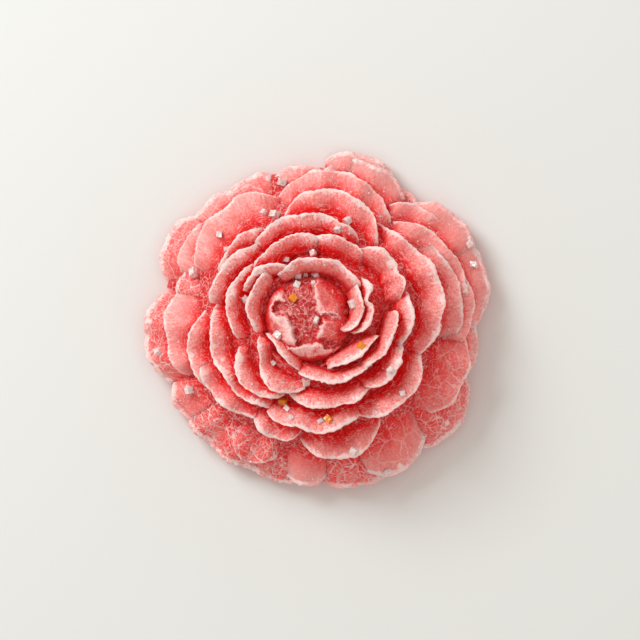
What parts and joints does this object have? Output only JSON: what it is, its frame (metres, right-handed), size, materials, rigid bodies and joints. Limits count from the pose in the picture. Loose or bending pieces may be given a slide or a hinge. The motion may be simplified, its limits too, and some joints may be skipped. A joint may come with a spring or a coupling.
{
  "type": "flower candy",
  "caption": "Hard sugar-jelly candy moulded as a full many-petalled blossom with ruffled overlapping petals, flat-backed, frosted with sugar crystals.",
  "frame": {"origin": "on the floor, under the middle of the blossom's outline", "axes": "+Z up out of the flat back, towards the bud; +Y is up in the reference picture, +X its right"},
  "size_m": [0.076, 0.0738, 0.0286],
  "materials": {
    "candy": "satin"
  },
  "bodies": {
    "root": {"flower_candy": "candy"}
  },
  "joints": []
}
